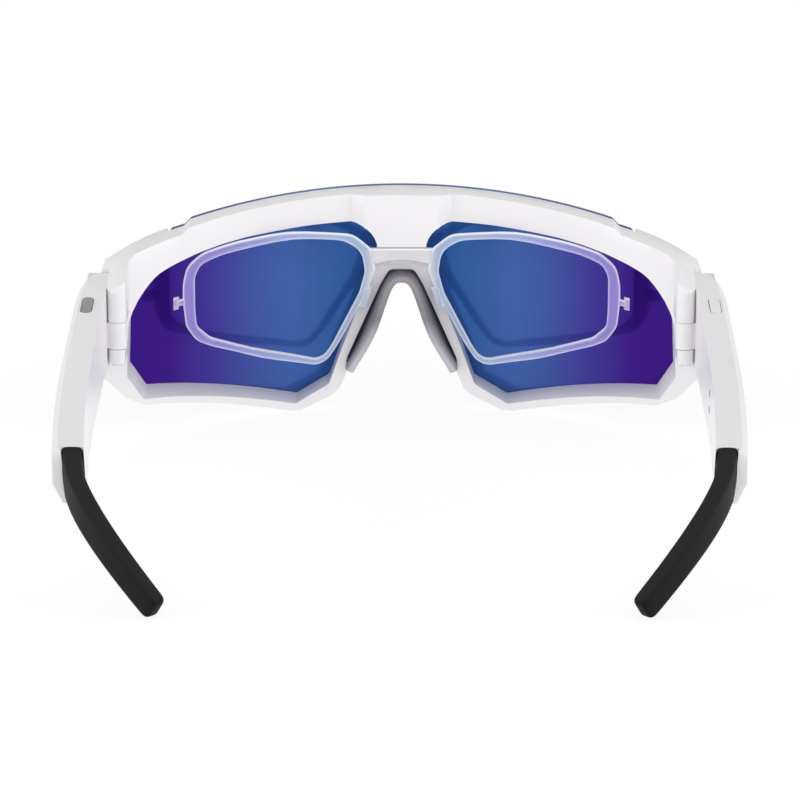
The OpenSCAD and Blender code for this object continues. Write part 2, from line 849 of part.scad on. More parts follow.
module circuit_board(side) {
    color(board_green)
        on_side(side)
            inside(board_y) {
                translate([0.4, -board_l / 2, -5.5])
                    cube([board_t, board_l, 9.3]);
                translate([0.4 + board_t - eps, -7, -4.5])
                    cube([1, 6, 6]);
                translate([0.4 + board_t - eps, 2, -4])
                    cube([1.2, 5, 4]);
            }
}

module battery(side) {
    color("#d3d6db")
        on_side(side)
            inside(battery_y)
                translate([0.6, -battery_l / 2, -battery_h / 2])
                    cube([battery_t, battery_l, battery_h]);
}

module speaker(side) {
    color("#55565c")
        on_side(side)
            inside(speaker_y)
                translate([-0.05, -speaker_l / 2, -speaker_h / 2 - 1.2])
                    cube([speaker_t, speaker_l, speaker_h]);
}

module grille_slot(gap) {
    translate([temple_x + 1.2 - gap, speaker_y, low_z(speaker_y)])
        rotate([low_slope, 0, 0])
            translate([0, -5 - gap, -1])
                cube([2.6 + 2 * gap, 10 + 2 * gap, 3]);
}

module speaker_grille(side) {
    color(rubber)
        on_side(side)
            translate([temple_x + 1.2, speaker_y, low_z(speaker_y)])
                rotate([low_slope, 0, 0])
                    difference() {
                        translate([0, -5, 0.1])
                            cube([2.6, 10, 0.8]);
                        for (i = [-4:4])
                            translate([0.5, i * 1.05 - 0.25, -1])
                                cube([1.6, 0.5, 3]);
                    }
}

module on_microphone() {
    y = speaker_y - mic_y;
    translate([temple_x + 3 - inward(y), y, top_z(y)])
        children();
}

module microphone(side) {
    color(gold)
        on_side(side)
            on_microphone()
                rotate([top_slope, 0, 0])
                    translate([-1.3, -1.8, -temple_wall - 1.3])
                        cube([2.6, 3.6, 1]);
}

module side_flex(side) {
    color("#c98a3c")
        on_side(side)
            inside(battery_y)
                translate([0.15, -battery_l / 2 - flex_lap, -2])
                    cube([0.2, battery_l + 2 * flex_lap, 4]);
}

// Notch for the end of the ear tip and socket for its plug
module tip_socket() {
    translate([tip_x0 - tip_w0 / 2 - seam, -far, tip_z0 - tip_h0 / 2 - 0.4])
        cube([tip_w0 + 2 * seam, far + tip_y0 + seam, far]);
    tip_plug(seam);
    translate([tip_x0, tip_y0, tip_z0])
        rotate([90, 0, 0])
            cylinder(r = wire_r + seam, h = 2 * (plug_l + 1), center = true);
}

module tip_plug(gap) {
    translate([tip_x0 - plug_w / 2 - gap, tip_y0 - 0.3, tip_z0 - plug_h / 2 - gap])
        cube([plug_w + 2 * gap, plug_l + 0.3 + gap, plug_h + 2 * gap]);
}

// Round rings along the wire, from its front end in the temple to its end in the ear tip
function wire_rings(r, front) = concat(
    [plug_ring(front, 2 * r, 2 * r, 1)],
    [for (i = [1:9]) tip_ring(i * 0.095, 2 * r, 2 * r, 16, 1)]
);
function reversed(list) = [for (i = [len(list) - 1:-1:0]) list[i]];

// The skin runs up the bore of the wire, over the plug and back to the end of the tip
module ear_tip(side) {
    color(rubber)
        on_side(side)
            difference() {
                loft(concat(
                    reversed(wire_rings(wire_r + 0.04, tip_y0 + plug_l)),
                    [plug_ring(tip_y0 + plug_l, plug_w, plug_h, 0.3)],
                    [plug_ring(tip_y0 + 0.01, plug_w, plug_h, 0.3)],
                    tip_rings
                ));
                translate([0, 0, -far / 2])
                    cube([4 * far, 4 * far, far], center = true);
            }
}

module tip_wire(side) {
    color(steel)
        on_side(side)
            loft(wire_rings(wire_r, tip_y0 + plug_l + 0.7));
}

// Two gilt contacts through the inner wall of the right temple
module contact_shapes(gap, x0, x1) {
    y = battery_y - contact_y;
    for (i = [-1, 1])
        translate([temple_x + x0, y, (top_z(y) + low_z(y) + i * contact_gap) / 2])
            rotate([0, 90, 0])
                cylinder(r = contact_r + gap, h = x1 - x0);
}

module charge_contacts() {
    color(gold)
        on_side(1)
            contact_shapes(0, 0.1, temple_wall);
}

front_frame();
shield_lens();
nose_pad();
prescription_rim();
brow_flex();
temple_housing(-1);  // temple_housing_left
temple_cover(-1);  // temple_cover_left
hinge_leaf(-1);  // hinge_leaf_left
hinge_pin(-1);  // hinge_pin_left
leaf_screws(-1);  // leaf_screws_left
button(-1);  // button_left
button_switch(-1);  // button_switch_left
circuit_board(-1);  // circuit_board_left
battery(-1);  // battery_left
speaker(-1);  // speaker_left
speaker_grille(-1);  // speaker_grille_left
microphone(-1);  // microphone_left
side_flex(-1);  // side_flex_left
tip_wire(-1);  // tip_wire_left
ear_tip(-1);  // ear_tip_left
temple_housing(1);  // temple_housing_right
temple_cover(1);  // temple_cover_right
hinge_leaf(1);  // hinge_leaf_right
hinge_pin(1);  // hinge_pin_right
leaf_screws(1);  // leaf_screws_right
button(1);  // button_right
button_switch(1);  // button_switch_right
circuit_board(1);  // circuit_board_right
battery(1);  // battery_right
speaker(1);  // speaker_right
speaker_grille(1);  // speaker_grille_right
microphone(1);  // microphone_right
side_flex(1);  // side_flex_right
tip_wire(1);  // tip_wire_right
ear_tip(1);  // ear_tip_right
charge_contacts();
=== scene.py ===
"""Wrap-round smart sunglasses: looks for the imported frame.

Sizes below are in millimetres and count, as in the part's source, from the middle of the
front's rear face; place() carries them into the frame, in metres.
"""

import json
import math

import bmesh
import bpy
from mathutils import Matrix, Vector


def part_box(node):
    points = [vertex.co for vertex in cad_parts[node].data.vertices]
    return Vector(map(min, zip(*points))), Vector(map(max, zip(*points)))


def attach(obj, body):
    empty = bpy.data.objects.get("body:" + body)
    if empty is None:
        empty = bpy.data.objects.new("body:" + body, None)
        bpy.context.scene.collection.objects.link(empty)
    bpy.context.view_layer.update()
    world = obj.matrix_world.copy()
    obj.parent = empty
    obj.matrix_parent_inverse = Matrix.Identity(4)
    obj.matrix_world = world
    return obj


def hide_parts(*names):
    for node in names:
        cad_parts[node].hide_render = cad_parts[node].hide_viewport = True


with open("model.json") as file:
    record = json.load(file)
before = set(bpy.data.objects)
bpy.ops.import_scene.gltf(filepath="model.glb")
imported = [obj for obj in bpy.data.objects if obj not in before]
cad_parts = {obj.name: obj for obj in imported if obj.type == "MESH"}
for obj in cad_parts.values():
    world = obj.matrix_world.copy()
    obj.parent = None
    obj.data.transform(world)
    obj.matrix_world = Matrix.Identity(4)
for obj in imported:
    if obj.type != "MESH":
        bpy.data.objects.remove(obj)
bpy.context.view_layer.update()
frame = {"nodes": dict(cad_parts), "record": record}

MM = 0.001
SIDES = {"left": -1, "right": 1}

# The front's curve, and the slopes of its edges towards the rear
REAR_R = 84
RIM_TILT = math.radians(8)
BROW_TILT = math.radians(3)
FACET_TILT = math.radians(16.7)
BROW_TOP = 53
BROW_R = 310
BROW_END = 50
END_LINE = [
    (51.5, 47.6), (55.8, 47), (60, 46.2), (63.4, 45.3), (66, 44.4), (69.2, 43.2), (70.2, 40.5),
]
FACET_LINE = ((48, 56.3), (72, 45.75))

# The lens, the clear rim and the temples
LENS_R = 90.45
LENS_T = 2
LENS_DROP = 0.1
INSERT_R = 100
INSERT_BACK = 2.1
TEMPLE_X = 68.1
TEMPLE_W = 6.5
TEMPLE_START = 27.32
TEMPLE_END = 124.52
TEMPLE_TOP = 38.7
TOP_SLOPE = math.radians(8)
HINGE_X = 65.5
HINGE_Y = -36.523

pin_low, pin_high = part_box("hinge_pin_right")
Y_SHIFT = (pin_low.y + pin_high.y) / 2 / MM - HINGE_Y


def place(x, y, z):
    """A point in millimetres from the front's rear face, as a place in the frame."""
    return Vector((x * MM, (y + Y_SHIFT) * MM, z * MM))


# Materials


def new_material(name):
    material = bpy.data.materials.new(name)
    material.use_nodes = True
    tree = material.node_tree
    shader = tree.nodes["Principled BSDF"]
    return material, tree, shader


def add_node(tree, kind, inputs=None, **settings):
    node = tree.nodes.new(kind)
    for key, value in settings.items():
        setattr(node, key, value)
    for key, value in (inputs or {}).items():
        node.inputs[key].default_value = value
    return node


def colour_ramp(tree, factor, stops):
    """A colour ramp with the given (position, colour) stops."""
    ramp = add_node(tree, "ShaderNodeValToRGB")
    elements = ramp.color_ramp.elements
    while len(elements) < len(stops):
        elements.new(0.5)
    for element, (position, colour) in zip(elements, stops):
        element.position = position
        element.color = (*colour, 1)
    tree.links.new(factor, ramp.inputs["Fac"])
    return ramp.outputs["Color"]


def fine_noise(tree, scale, detail=3.0):
    """Noise that sticks to the object, with its coordinates in metres."""
    place_node = add_node(tree, "ShaderNodeTexCoord")
    noise = add_node(tree, "ShaderNodeTexNoise", {"Scale": scale, "Detail": detail})
    tree.links.new(place_node.outputs["Object"], noise.inputs["Vector"])
    return noise.outputs["Fac"]


def add_bump(tree, shader, height, strength, distance):
    bump = add_node(tree, "ShaderNodeBump", {"Strength": strength, "Distance": distance})
    tree.links.new(height, bump.inputs["Height"])
    tree.links.new(bump.outputs["Normal"], shader.inputs["Normal"])


def vary_roughness(tree, shader, factor, low, high):
    spread = add_node(tree, "ShaderNodeMapRange", {"To Min": low, "To Max": high})
    tree.links.new(factor, spread.inputs["Value"])
    tree.links.new(spread.outputs["Result"], shader.inputs["Roughness"])


def white_plastic():
    """Glossy white moulded plastic with faint flow marks."""
    material, tree, shader = new_material("white_plastic")
    noise = fine_noise(tree, 35, 1.0)
    colour = colour_ramp(tree, noise, [(0.3, (0.80, 0.785, 0.80)), (0.7, (0.835, 0.82, 0.835))])
    tree.links.new(colour, shader.inputs["Base Color"])
    vary_roughness(tree, shader, noise, 0.26, 0.34)
    shader.inputs["Specular IOR Level"].default_value = 0.3
    shader.inputs["Subsurface Weight"].default_value = 0.06
    shader.inputs["Subsurface Radius"].default_value = (0.004, 0.004, 0.004)
    return material


def plain_finish(name, low, high, scale, roughness, metallic=0.0, bump=0.1):
    """A finish whose colour drifts between two close tones, with a fine grain."""
    material, tree, shader = new_material(name)
    colour = colour_ramp(tree, fine_noise(tree, scale), [(0.3, low), (0.7, high)])
    tree.links.new(colour, shader.inputs["Base Color"])
    shader.inputs["Metallic"].default_value = metallic
    shader.inputs["Specular IOR Level"].default_value = 0.5
    vary_roughness(tree, shader, fine_noise(tree, scale * 3), roughness[0], roughness[1])
    add_bump(tree, shader, fine_noise(tree, scale * 12), bump, 0.0002)
    return material


def mirror_lens():
    """Blue mirror coating that turns violet towards the sides."""
    material, tree, shader = new_material("mirror_lens")
    share = map_range(tree, distance_from_middle(tree), 0, 0.07)
    drift = add_node(tree, "ShaderNodeMath", operation="MULTIPLY_ADD")
    drift.inputs[1].default_value = 0.03
    tree.links.new(fine_noise(tree, 25), drift.inputs[0])
    tree.links.new(share, drift.inputs[2])
    colour = colour_ramp(tree, drift.outputs[0], [
        (0.00, (0.026, 0.110, 0.385)),
        (0.25, (0.036, 0.125, 0.390)),
        (0.40, (0.055, 0.130, 0.425)),
        (0.52, (0.056, 0.096, 0.375)),
        (0.66, (0.055, 0.042, 0.315)),
        (0.80, (0.048, 0.010, 0.240)),
        (1.00, (0.034, 0.003, 0.200)),
    ])
    tree.links.new(colour, shader.inputs["Base Color"])
    shader.inputs["Metallic"].default_value = 0.5
    shader.inputs["Specular IOR Level"].default_value = 0.08
    vary_roughness(tree, shader, fine_noise(tree, 120), 0.1, 0.14)
    return material


def distance_from_middle(tree):
    """How far out a point of the front lies, in metres."""
    coordinate = add_node(tree, "ShaderNodeTexCoord")
    split = add_node(tree, "ShaderNodeSeparateXYZ")
    tree.links.new(coordinate.outputs["Object"], split.inputs["Vector"])
    outward = add_node(tree, "ShaderNodeMath", operation="ABSOLUTE")
    tree.links.new(split.outputs["X"], outward.inputs[0])
    return outward.outputs[0]


def vector_step(tree, operation, source, value=None, other=None):
    step = add_node(tree, "ShaderNodeVectorMath", operation=operation)
    tree.links.new(source, step.inputs[0])
    if value is not None:
        step.inputs[1].default_value = value
    if other is not None:
        tree.links.new(other, step.inputs[1])
    return step.outputs["Value" if operation == "DOT_PRODUCT" else "Vector"]


def map_range(tree, source, low, high, to_low=0.0, to_high=1.0):
    spread = add_node(tree, "ShaderNodeMapRange", {
        "From Min": low, "From Max": high, "To Min": to_low, "To Max": to_high})
    tree.links.new(source, spread.inputs["Value"])
    return spread.outputs["Result"]


def clear_plastic():
    """Clear plastic: its faces carry the lens's colour as a painted reflection of the lens behind
    it; its edges carry a painted highlight, white and dense.
    """
    material, tree, shader = new_material("clear_plastic")
    coordinate = add_node(tree, "ShaderNodeTexCoord")
    centre = place(0, -INSERT_R - INSERT_BACK, 0)
    away = vector_step(tree, "SUBTRACT", coordinate.outputs["Object"], (0, centre.y, 0))
    flat = vector_step(tree, "MULTIPLY", away, (1, 1, 0))
    radial = vector_step(tree, "NORMALIZE", flat)
    surface = add_node(tree, "ShaderNodeNewGeometry")
    facing = vector_step(tree, "DOT_PRODUCT", radial, other=surface.outputs["Normal"])
    level = add_node(tree, "ShaderNodeMath", operation="ABSOLUTE")
    tree.links.new(facing, level.inputs[0])
    # Painted highlight: faces turned away from the radial direction, the rim's edges, are painted
    # white.
    edge = map_range(tree, level.outputs[0], 0.6, 0.985, 1, 0)
    share = map_range(tree, distance_from_middle(tree), 0, 0.054)
    drift = add_node(tree, "ShaderNodeMath", operation="MULTIPLY_ADD")
    drift.inputs[1].default_value = 0.04
    tree.links.new(fine_noise(tree, 60), drift.inputs[0])
    tree.links.new(share, drift.inputs[2])
    # Painted reflection: the lens's blue and violet painted onto the faces, neutral over the
    # bridge.
    painted_lens_colour = colour_ramp(tree, drift.outputs[0], [
        (0.14, (0.93, 0.92, 0.93)), (0.20, (0.62, 0.80, 0.98)), (0.55, (0.56, 0.64, 0.94)),
        (0.80, (0.46, 0.40, 0.88)), (0.97, (0.50, 0.40, 0.90)), (1.00, (0.80, 0.74, 0.96))])
    blend = add_node(tree, "ShaderNodeMix", data_type="RGBA")
    tree.links.new(edge, blend.inputs["Factor"])
    tree.links.new(painted_lens_colour, blend.inputs[6])
    # The white of the painted edge highlight.
    blend.inputs[7].default_value = (0.94, 0.94, 0.99, 1)
    tree.links.new(blend.outputs[2], shader.inputs["Base Color"])
    vary_roughness(tree, shader, fine_noise(tree, 300), 0.08, 0.16)
    through = add_node(tree, "ShaderNodeBsdfTransparent", {"Color": (0.96, 0.97, 1.0, 1)})
    mix = add_node(tree, "ShaderNodeMixShader")
    plate = map_range(tree, share, 0.12, 0.16, 1.5, 1)
    cover = add_node(tree, "ShaderNodeMath", operation="MULTIPLY")
    # The painted edge highlight also covers more of what lies behind.
    tree.links.new(map_range(tree, edge, 0, 1, 0.4, 0.92), cover.inputs[0])
    tree.links.new(plate, cover.inputs[1])
    tree.links.new(cover.outputs[0], mix.inputs["Fac"])
    tree.links.new(through.outputs[0], mix.inputs[1])
    tree.links.new(shader.outputs[0], mix.inputs[2])
    tree.links.new(mix.outputs[0], tree.nodes["Material Output"].inputs["Surface"])
    return material


def pad_silicone():
    """Soft grey silicone with painted shade: dark on its outer side and along its top, in a bluish
    colour that is a painted reflection of the lens.
    """
    material, tree, shader = new_material("pad_silicone")
    coordinate = add_node(tree, "ShaderNodeTexCoord")
    split = add_node(tree, "ShaderNodeSeparateXYZ")
    tree.links.new(coordinate.outputs["Object"], split.inputs["Vector"])
    side = add_node(tree, "ShaderNodeMath", operation="SIGN")
    tree.links.new(split.outputs["X"], side.inputs[0])
    surface = add_node(tree, "ShaderNodeNewGeometry")
    turned = add_node(tree, "ShaderNodeSeparateXYZ")
    tree.links.new(surface.outputs["Normal"], turned.inputs["Vector"])
    # Painted shade and painted reflection: faces turned outwards or upwards get the dark bluish
    # colour.
    outward = add_node(tree, "ShaderNodeMath", operation="MULTIPLY")
    tree.links.new(side.outputs[0], outward.inputs[0])
    tree.links.new(turned.outputs["X"], outward.inputs[1])
    upward = add_node(tree, "ShaderNodeMath", operation="MULTIPLY_ADD")
    upward.inputs[1].default_value = 0.8
    tree.links.new(turned.outputs["Z"], upward.inputs[0])
    tree.links.new(outward.outputs[0], upward.inputs[2])
    rear = place(0, -8, 0).y
    # Painted shade: darker the further forward, in towards the frame.
    deep = map_range(tree, split.outputs["Y"], rear + 0.003, rear + 0.008, 0.1, 1)
    painted_shade_and_reflection = add_node(tree, "ShaderNodeMath", operation="MULTIPLY")
    tree.links.new(map_range(tree, upward.outputs[0], 0.05, 0.85), painted_shade_and_reflection.inputs[0])
    tree.links.new(deep, painted_shade_and_reflection.inputs[1])
    drift = add_node(tree, "ShaderNodeMath", operation="MULTIPLY_ADD")
    drift.inputs[1].default_value = 0.06
    tree.links.new(fine_noise(tree, 200), drift.inputs[0])
    tree.links.new(painted_shade_and_reflection.outputs[0], drift.inputs[2])
    # Painted shade: lighter low down, darker towards the top.
    height = map_range(tree, split.outputs["Z"], 0.011, 0.034)
    light = colour_ramp(tree, height, [
        (0.10, (0.54, 0.51, 0.545)), (0.38, (0.43, 0.41, 0.435)), (0.52, (0.26, 0.245, 0.265)),
        (0.75, (0.28, 0.265, 0.285)), (0.95, (0.33, 0.305, 0.325))])
    blend = add_node(tree, "ShaderNodeMix", data_type="RGBA")
    tree.links.new(map_range(tree, drift.outputs[0], 0.1, 0.9), blend.inputs["Factor"])
    tree.links.new(light, blend.inputs[6])
    # Dark bluish colour: painted shade with a painted reflection of the lens.
    blend.inputs[7].default_value = (0.075, 0.073, 0.12, 1)
    colour = blend.outputs[2]
    tree.links.new(colour, shader.inputs["Base Color"])
    vary_roughness(tree, shader, fine_noise(tree, 300), 0.42, 0.55)
    shader.inputs["Specular IOR Level"].default_value = 0.3
    shader.inputs["Subsurface Weight"].default_value = 0.1
    shader.inputs["Subsurface Radius"].default_value = (0.001, 0.001, 0.001)
    add_bump(tree, shader, fine_noise(tree, 1500), 0.06, 0.0002)
    return material


def soft_rubber():
    """Matt black rubber, with painted light: a little lighter on the faces that look up."""
    material, tree, shader = new_material("black_rubber")
    surface = add_node(tree, "ShaderNodeNewGeometry")
    split = add_node(tree, "ShaderNodeSeparateXYZ")
    tree.links.new(surface.outputs["Normal"], split.inputs["Vector"])
    drift = add_node(tree, "ShaderNodeMath", operation="MULTIPLY_ADD")
    drift.inputs[1].default_value = 0.2
    tree.links.new(fine_noise(tree, 300), drift.inputs[0])
    # Painted light: the colour turns lighter as the face looks up, with some random drift.
    tree.links.new(map_range(tree, split.outputs["Z"], 0.3, 0.8), drift.inputs[2])
    colour = colour_ramp(tree, drift.outputs[0], [
        (0.0, (0.006, 0.005, 0.006)), (1.0, (0.018, 0.016, 0.018))])
    tree.links.new(colour, shader.inputs["Base Color"])
    shader.inputs["Specular IOR Level"].default_value = 0.1
    vary_roughness(tree, shader, fine_noise(tree, 900), 0.5, 0.62)
    add_bump(tree, shader, fine_noise(tree, 3600), 0.1, 0.0002)
    return material


WHITE = white_plastic()
LENS = mirror_lens()
CLEAR = clear_plastic()
PAD = pad_silicone()
RUBBER = soft_rubber()
STEEL = plain_finish(
    "brushed_steel", (0.60, 0.60, 0.62), (0.72, 0.72, 0.74), 200, (0.22, 0.34), 1.0)
GILT = plain_finish("gilt", (0.78, 0.58, 0.25), (0.86, 0.68, 0.33), 200, (0.18, 0.26), 1.0)
GREY = plain_finish("grey_button", (0.25, 0.235, 0.255), (0.29, 0.275, 0.295), 150, (0.3, 0.4))
BOARD = plain_finish("board", (0.02, 0.13, 0.06), (0.03, 0.17, 0.08), 400, (0.35, 0.45))
FOIL = plain_finish("cell_foil", (0.62, 0.63, 0.65), (0.72, 0.73, 0.75), 90, (0.3, 0.4), 0.9, 0.3)
DARK = plain_finish("dark_plastic", (0.03, 0.03, 0.035), (0.05, 0.05, 0.055), 250, (0.4, 0.5))
AMBER = plain_finish("flat_cable", (0.50, 0.24, 0.05), (0.58, 0.30, 0.07), 150, (0.25, 0.35))

FINISHES = {
    "white_shell": WHITE, "mirror_lens": LENS, "soft_pad": PAD, "clear_rim": CLEAR,
    "black_rubber": RUBBER, "steel": STEEL, "gilt": GILT, "grey_button": GREY,
    "board": BOARD, "cell_foil": FOIL, "dark_plastic": DARK, "flat_cable": AMBER,
}


# Shapes


def unit(vector):
    return vector / vector.length


def share_of(value, start, end):
    """How far a value has come from the start to the end, from 0 to 1."""
    return min(1, max(0, (value - start) / (end - start)))


def corner_arc(before, corner, after, radius):
    """Points of a round corner between two sides, 6 degrees apart or less."""
    to_before = unit(before - corner)
    to_after = unit(after - corner)
    half = math.acos(max(-1, min(1, to_before.dot(to_after)))) / 2
    centre = corner + unit(to_before + to_after) * radius / math.sin(half)
    start = corner + to_before * radius / math.tan(half)
    end = corner + to_after * radius / math.tan(half)
    first = math.atan2(start.y - centre.y, start.x - centre.x)
    last = math.atan2(end.y - centre.y, end.x - centre.x)
    turn = (last - first + 3 * math.pi) % (2 * math.pi) - math.pi
    count = max(1, math.ceil(abs(math.degrees(turn)) / 6))
    angles = [first + turn * k / count for k in range(count + 1)]
    return [centre + radius * Vector((math.cos(a), math.sin(a))) for a in angles]


def rounded(corners):
    """Outline through corners given as (x, y, radius)."""
    points = [Vector((x, y)) for x, y, _ in corners]
    out = []
    for k, (_, _, radius) in enumerate(corners):
        if radius > 0:
            out += corner_arc(points[k - 1], points[k], points[(k + 1) % len(points)], radius)
        else:
            out.append(points[k])
    return out


def both_sides(half):
    """A right half of corners, closed by its mirror image."""
    return half + [(-x, y, radius) for x, y, radius in reversed(half) if x > 0]


def to_mesh(bm, name):
    """Closes a bmesh into a mesh, with its faces turned outwards."""
    bmesh.ops.recalc_face_normals(bm, faces=bm.faces[:])
    mesh = bpy.data.meshes.new(name)
    bm.to_mesh(mesh)
    bm.free()
    return mesh


def link_piece(name, mesh, body, nodes, material):
    """A piece that rides on a body and stands for the given nodes."""
    piece = bpy.data.objects.new(name, mesh)
    bpy.context.scene.collection.objects.link(piece)
    mesh.materials.append(material)
    for polygon in mesh.polygons:
        polygon.use_smooth = True
    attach(piece, body)
    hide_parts(*nodes)
    return piece


def add_bevel(piece, width, angle):
    """Rounds the edges sharper than the angle in degrees, to a width in millimetres."""
    bevel = piece.modifiers.new("bevel", "BEVEL")
    bevel.width = width * MM
    bevel.segments = 3
    bevel.limit_method = "ANGLE"
    bevel.angle_limit = math.radians(angle)
    bevel.use_clamp_overlap = True
    bevel.harden_normals = True


def height_on(v, y, tilt):
    """Height of a point v of a tilted outline at the depth y."""
    return (v + y * math.sin(tilt)) / math.cos(tilt)


def arc_depth(x, radius, centre=-REAR_R):
    """Depth at x of an upright cylinder about the centre."""
    return centre + math.sqrt(radius * radius - x * x)


LENS_LOW = [
    (3.8, 35.4, 2), (6.3, 30.8, 3), (14.4, 12.4, 3), (15.2, 6.8, 2), (18.6, 4, 2), (25.4, 1.5, 2),
    (62.4, 9.5, 2.5), (67.4, 23.5, 3), (66.8, 36, 4), (55, 45.8, 1), (55, 60, 0),
]
INSERT_OUTER = [
    (7.3, 39.8, 0.6), (11.6, 43.4, 6), (27, 45.2, 40), (40, 44.25, 30), (47, 43.1, 6),
    (50.6, 40.6, 4), (51.6, 36.5, 10), (51.6, 32, 20), (51, 26.2, 5), (48.6, 22.2, 6),
    (45, 20.1, 10), (33, 15, 40), (18.9, 11.6, 4.5), (15, 17.2, 6), (8.2, 29.4, 8), (6.2, 34.6, 1),
]
INSERT_INNER = [
    (8.8, 34.2, 4), (9.6, 39.4, 5), (14, 42.1, 8), (26, 43.4, 40), (42.5, 41.8, 20),
    (47.4, 40.4, 3), (48.8, 37.6, 4), (48.8, 29.5, 20), (48.5, 25.6, 3), (45.4, 22.3, 4),
    (36, 18, 60), (19.3, 13.2, 3.5), (16.6, 17.2, 5), (10.2, 29.2, 8),
]


def on_line(line, x):
    """Height at x of a line of points that runs outwards."""
    for (x0, v0), (x1, v1) in zip(line, line[1:]):
        if x <= x1:
            return v0 + (v1 - v0) * (x - x0) / (x1 - x0)
    return line[-1][1]


def brow_line(x):
    """Height of the brow's top edge at x."""
    return BROW_TOP - x * x / (2 * BROW_R)


TOP_LINE = [(k * 2.5, brow_line(k * 2.5)) for k in range(21)] + END_LINE


def top_height(x, y):
    """Height of the lens's top edge at x, at the depth y: a little below the front's top line."""
    x = abs(x)
    brow = height_on(on_line(TOP_LINE, x) - LENS_DROP, y, BROW_TILT)
    return min(brow, height_on(on_line(FACET_LINE, x), y, FACET_TILT))


def crossings(points, x):
    """Heights at which the upright line at x cuts a closed outline."""
    out = []
    for a, b in zip(points, points[1:] + points[:1]):
        if (a.x - x) * (b.x - x) < 0:
            out.append(a.y + (b.y - a.y) * (x - a.x) / (b.x - a.x))
    return sorted(out)


def smooth_lens():
    """The shield as a fine grid of upright columns, with rounded edges."""
    rows = 26
    edge = 0.35
    outline = rounded(both_sides(LENS_LOW))
    last = max(p.x for p in outline)
    stations = [k * 0.8 for k in range(0, int(last / 0.8) + 1)]
    stations += [p.x for p in outline if p.x > 0] + [BROW_END - 0.15, BROW_END + 0.15, 51.4, 51.7]
    stations += [last - 0.01, last - 0.05, last - 0.15]
    shift = [0.3, 0.08, 0] + [0] * (rows - 1) + [0, 0.08, 0.3]
    right = []
    for x in sorted(stations):
        if x <= last - 0.005 and (not right or x - right[-1] > 0.12):
            right.append(x)
    xs = [-x for x in reversed(right) if x > 0] + right
    bm = bmesh.new()
    columns = []
    for x in xs:
        cut = crossings(outline, x + 1e-4 if x >= 0 else x - 1e-4)
        column = []
        for radius, side in ((LENS_R, -1), (LENS_R + LENS_T, 1)):
            y = arc_depth(x, radius)
            low = height_on(cut[0], y, RIM_TILT)
            high = min(top_height(x, y), height_on(cut[-1], y, RIM_TILT))
            inset = min(edge, (high - low) * 0.3)
            heights = [low, low + inset * 0.3, low + inset]
            heights += [low + inset + (high - low - 2 * inset) * k / rows for k in range(1, rows)]
            heights += [high - inset, high - inset * 0.3, high]
            wall = []
            for z, s in zip(heights, shift):
                across = x * (1 - side * s / radius)
                wall.append(bm.verts.new(place(across, arc_depth(across, radius - side * s), z)))
            column.append(wall)
        columns.append(column)
    size = len(columns[0][0])
    for (rear_a, front_a), (rear_b, front_b) in zip(columns, columns[1:]):
        for k in range(size - 1):
            bm.faces.new((rear_a[k], rear_b[k], rear_b[k + 1], rear_a[k + 1]))
            bm.faces.new((front_a[k], front_a[k + 1], front_b[k + 1], front_b[k]))
        bm.faces.new((rear_a[0], front_a[0], front_b[0], rear_b[0]))
        bm.faces.new((rear_a[-1], rear_b[-1], front_b[-1], front_a[-1]))
    for rear, front in (columns[0], columns[-1]):
        for k in range(size - 1):
            bm.faces.new((rear[k], rear[k + 1], front[k + 1], front[k]))
    mesh = to_mesh(bm, "lens")
    link_piece("lens", mesh, "front", ["shield_lens"], LENS)
    mesh.set_sharp_from_angle(angle=math.radians(35))


def ray_hit(outline, middle, angle):
    """Where a ray from the middle leaves a closed outline."""
    d = Vector((math.cos(angle), math.sin(angle)))
    best = None
    for a, b in zip(outline, outline[1:] + outline[:1]):
        edge = b - a
        across = d.x * edge.y - d.y * edge.x
        if abs(across) < 1e-12:
            continue
        gap = a - middle
        reach = (gap.x * edge.y - gap.y * edge.x) / across
        share = (gap.x * d.y - gap.y * d.x) / across
        if reach > 0 and -1e-9 <= share <= 1 + 1e-9 and (best is None or reach > best):
            best = reach
    return middle + d * best


def on_insert(u, v, depth):
    """Place of an outline point on the clear rim's curve, the given depth off its middle."""
    y = arc_depth(u, INSERT_R + depth, -INSERT_R - INSERT_BACK)
    return place(u, y, height_on(v, y, RIM_TILT))


def round_bar(a, b, half, radius):
    """A bar's cross-section between the points a and b, with four round corners."""
    length = (b - a).length
    d = (b - a) / length
    radius = min(radius, length * 0.45)
    out = []
    for centre, depth, first in (
        (length - radius, half - radius, 0), (radius, half - radius, 90),
        (radius, radius - half, 180), (length - radius, radius - half, 270),
    ):
        for k in range(5):
            angle = math.radians(first + 22.5 * k)
            along = centre + radius * math.cos(angle)
            out.append((a + d * along, depth + radius * math.sin(angle)))
    return out


def skin(bm, rings, closed):
    """Adds a tube through rings to a mesh, closed along its length or capped."""
    verts = [[bm.verts.new(p) for p in ring] for ring in rings]
    count = len(rings[0])
    pairs = list(zip(verts, verts[1:]))
    if closed:
        pairs.append((verts[-1], verts[0]))
    else:
        bm.faces.new(list(reversed(verts[0])))
        bm.faces.new(verts[-1])
    for a, b in pairs:
        for k in range(count):
            bm.faces.new((a[k], a[(k + 1) % count], b[(k + 1) % count], b[k]))


# Short bars on the clear rim, from one cross-section to the next: half thickness, corner radius
# and the ends of the two sections. They are the stem and head of the outer tab, and the inner grip.
INSERT_TABS = [
    (0.7, 0.35, ((51.3, 31.6), (51.3, 32.9)), ((53, 31.6), (53, 32.9))),
    (0.7, 0.35, ((52.5, 30.9), (52.5, 33.6)), ((53.7, 30.9), (53.7, 33.6))),
    (0.9, 0.4, ((7.1, 30.3), (8.9, 30.5)), ((8.4, 25.7), (10.2, 25.9))),
]
INSERT_MIDDLE = Vector((29, 30))
INSERT_STEPS = 220


